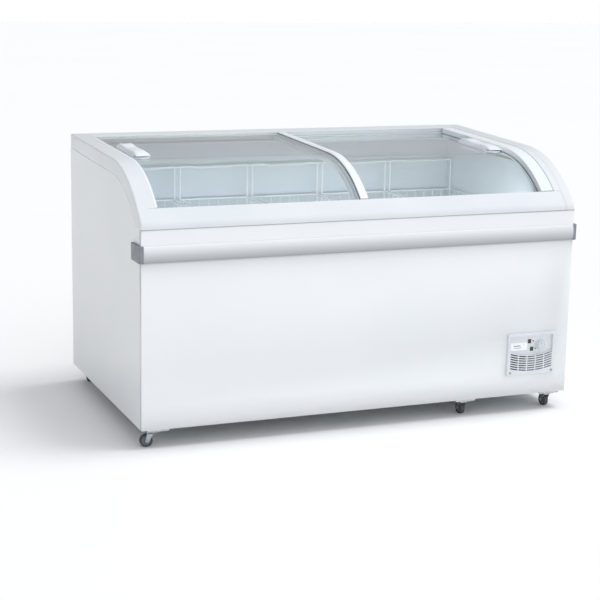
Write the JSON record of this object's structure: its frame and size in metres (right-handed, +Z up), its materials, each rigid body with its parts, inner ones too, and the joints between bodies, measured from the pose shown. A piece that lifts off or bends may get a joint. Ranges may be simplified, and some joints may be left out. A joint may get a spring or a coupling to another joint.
{
  "type": "chest freezer",
  "caption": "White display chest freezer with a curved sliding glass top, wire baskets, bumper strip and casters",
  "frame": {"origin": "On the floor, under the middle of the whole freezer", "axes": "+X to the customer's right along the long side, +Y to the back, +Z up"},
  "size_m": [1.496, 0.86, 0.8739],
  "materials": {
    "white_enamel": "gloss",
    "pale_frame_plastic": "satin",
    "lid_strip_plastic": "satin",
    "glider_nylon": "matte",
    "lid_glass": "gloss",
    "embossed_liner": "satin",
    "rigid_foam": "matte",
    "bumper_aluminium": "satin",
    "bumper_corner_plastic": "matte",
    "coated_wire": "gloss",
    "evaporator_aluminium": "satin",
    "galvanised_steel": "satin",
    "panel_plastic": "satin",
    "label_white": "satin",
    "lamp_red": "gloss",
    "lamp_green": "gloss",
    "knob_plastic": "satin",
    "screw_steel": "satin",
    "black_plastic": "matte",
    "compressor_black": "satin",
    "rubber_black": "matte",
    "caster_zinc": "satin",
    "wheel_grey": "matte"
  },
  "bodies": {
    "cabinet": {"cabinet_foam": "rigid_foam", "tub_liner": "embossed_liner", "evaporator_tube": "evaporator_aluminium", "front_panel": "white_enamel", "left_side_panel": "white_enamel", "right_side_panel": "white_enamel", "rear_panel": "galvanised_steel", "bottom_pan": "galvanised_steel", "rear_vent": "galvanised_steel", "cord_gland": "rubber_black", "left_frame": "pale_frame_plastic", "right_frame": "pale_frame_plastic", "front_beam": "pale_frame_plastic", "rear_beam": "pale_frame_plastic", "basket_rails": "coated_wire", "front_bumper": "bumper_aluminium", "bumper_corners": "bumper_corner_plastic", "control_panel": "panel_plastic", "control_label": "label_white", "red_lamp": "lamp_red", "green_lamp": "lamp_green", "thermostat": "black_plastic", "panel_screws": "screw_steel", "base_tray": "galvanised_steel", "compressor": "compressor_black", "compressor_feet": "rubber_black", "condenser": "compressor_black", "fan_shroud": "galvanised_steel", "fan_motor": "compressor_black", "caster_channels": "galvanised_steel", "caster_plates": "caster_zinc"},
    "upper_lid": {"upper_lid_glass": "lid_glass", "upper_lid_left_strip": "lid_strip_plastic", "upper_lid_right_strip": "lid_strip_plastic", "upper_lid_gliders": "glider_nylon", "upper_lid_handle": "lid_strip_plastic"},
    "lower_lid": {"lower_lid_glass": "lid_glass", "lower_lid_left_strip": "lid_strip_plastic", "lower_lid_right_strip": "lid_strip_plastic", "lower_lid_gliders": "glider_nylon", "lower_lid_handle": "lid_strip_plastic"},
    "basket_1": {"basket_1": "coated_wire"},
    "basket_2": {"basket_2": "coated_wire"},
    "basket_3": {"basket_3": "coated_wire"},
    "basket_4": {"basket_4": "coated_wire"},
    "basket_5": {"basket_5": "coated_wire"},
    "thermostat_knob": {"thermostat_knob": "knob_plastic"},
    "fan": {"fan": "black_plastic"},
    "front_left_fork": {"front_left_fork": "caster_zinc"},
    "front_left_wheel": {"front_left_wheel": "wheel_grey"},
    "rear_left_fork": {"rear_left_fork": "caster_zinc"},
    "rear_left_wheel": {"rear_left_wheel": "wheel_grey"},
    "front_middle_fork": {"front_middle_fork": "caster_zinc"},
    "front_middle_wheel": {"front_middle_wheel": "wheel_grey"},
    "rear_middle_fork": {"rear_middle_fork": "caster_zinc"},
    "rear_middle_wheel": {"rear_middle_wheel": "wheel_grey"},
    "front_right_fork": {"front_right_fork": "caster_zinc"},
    "front_right_wheel": {"front_right_wheel": "wheel_grey"},
    "rear_right_fork": {"rear_right_fork": "caster_zinc"},
    "rear_right_wheel": {"rear_right_wheel": "wheel_grey"}
  },
  "joints": [
    {"name": "upper_lid_slide", "type": "slide", "parent": "cabinet", "child": "upper_lid", "axis": [1, 0, 0], "range_m": [0, 0.54]},
    {"name": "lower_lid_slide", "type": "slide", "parent": "cabinet", "child": "lower_lid", "axis": [1, 0, 0], "range_m": [-0.54, 0]},
    {"name": "basket_1_lift", "type": "slide", "parent": "cabinet", "child": "basket_1", "axis": [0, 0, 1], "range_m": [0, 0.05]},
    {"name": "basket_2_lift", "type": "slide", "parent": "cabinet", "child": "basket_2", "axis": [0, 0, 1], "range_m": [0, 0.05]},
    {"name": "basket_3_lift", "type": "slide", "parent": "cabinet", "child": "basket_3", "axis": [0, 0, 1], "range_m": [0, 0.05]},
    {"name": "basket_4_lift", "type": "slide", "parent": "cabinet", "child": "basket_4", "axis": [0, 0, 1], "range_m": [0, 0.05]},
    {"name": "basket_5_lift", "type": "slide", "parent": "cabinet", "child": "basket_5", "axis": [0, 0, 1], "range_m": [0, 0.05]},
    {"name": "thermostat_turn", "type": "hinge", "parent": "cabinet", "child": "thermostat_knob", "pos_m": [0.635, -0.42, 0.2255], "axis": [0, -1, 0], "range_deg": [0, 300]},
    {"name": "fan_spin", "type": "hinge", "parent": "cabinet", "child": "fan", "pos_m": [0.6, -0.294, 0.185], "axis": [0, 1, 0], "continuous": true},
    {"name": "front_left_swivel", "type": "hinge", "parent": "cabinet", "child": "front_left_fork", "pos_m": [-0.702, -0.385, 0.045], "axis": [0, 0, 1], "continuous": true},
    {"name": "front_left_roll", "type": "hinge", "parent": "front_left_fork", "child": "front_left_wheel", "pos_m": [-0.716, -0.385, 0.02], "axis": [0, 1, 0], "continuous": true},
    {"name": "rear_left_swivel", "type": "hinge", "parent": "cabinet", "child": "rear_left_fork", "pos_m": [-0.69, 0.388, 0.045], "axis": [0, 0, 1], "continuous": true},
    {"name": "rear_left_roll", "type": "hinge", "parent": "rear_left_fork", "child": "rear_left_wheel", "pos_m": [-0.69, 0.402, 0.02], "axis": [1, 0, 0], "continuous": true},
    {"name": "front_middle_swivel", "type": "hinge", "parent": "cabinet", "child": "front_middle_fork", "pos_m": [0.372, -0.383, 0.045], "axis": [0, 0, 1], "continuous": true},
    {"name": "front_middle_roll", "type": "hinge", "parent": "front_middle_fork", "child": "front_middle_wheel", "pos_m": [0.372, -0.369, 0.02], "axis": [1, 0, 0], "continuous": true},
    {"name": "rear_middle_swivel", "type": "hinge", "parent": "cabinet", "child": "rear_middle_fork", "pos_m": [0.372, 0.388, 0.045], "axis": [0, 0, 1], "continuous": true},
    {"name": "rear_middle_roll", "type": "hinge", "parent": "rear_middle_fork", "child": "rear_middle_wheel", "pos_m": [0.372, 0.402, 0.02], "axis": [1, 0, 0], "continuous": true},
    {"name": "front_right_swivel", "type": "hinge", "parent": "cabinet", "child": "front_right_fork", "pos_m": [0.69, -0.383, 0.045], "axis": [0, 0, 1], "continuous": true},
    {"name": "front_right_roll", "type": "hinge", "parent": "front_right_fork", "child": "front_right_wheel", "pos_m": [0.69, -0.369, 0.02], "axis": [1, 0, 0], "continuous": true},
    {"name": "rear_right_swivel", "type": "hinge", "parent": "cabinet", "child": "rear_right_fork", "pos_m": [0.69, 0.388, 0.045], "axis": [0, 0, 1], "continuous": true},
    {"name": "rear_right_roll", "type": "hinge", "parent": "rear_right_fork", "child": "rear_right_wheel", "pos_m": [0.69, 0.402, 0.02], "axis": [1, 0, 0], "continuous": true}
  ]
}
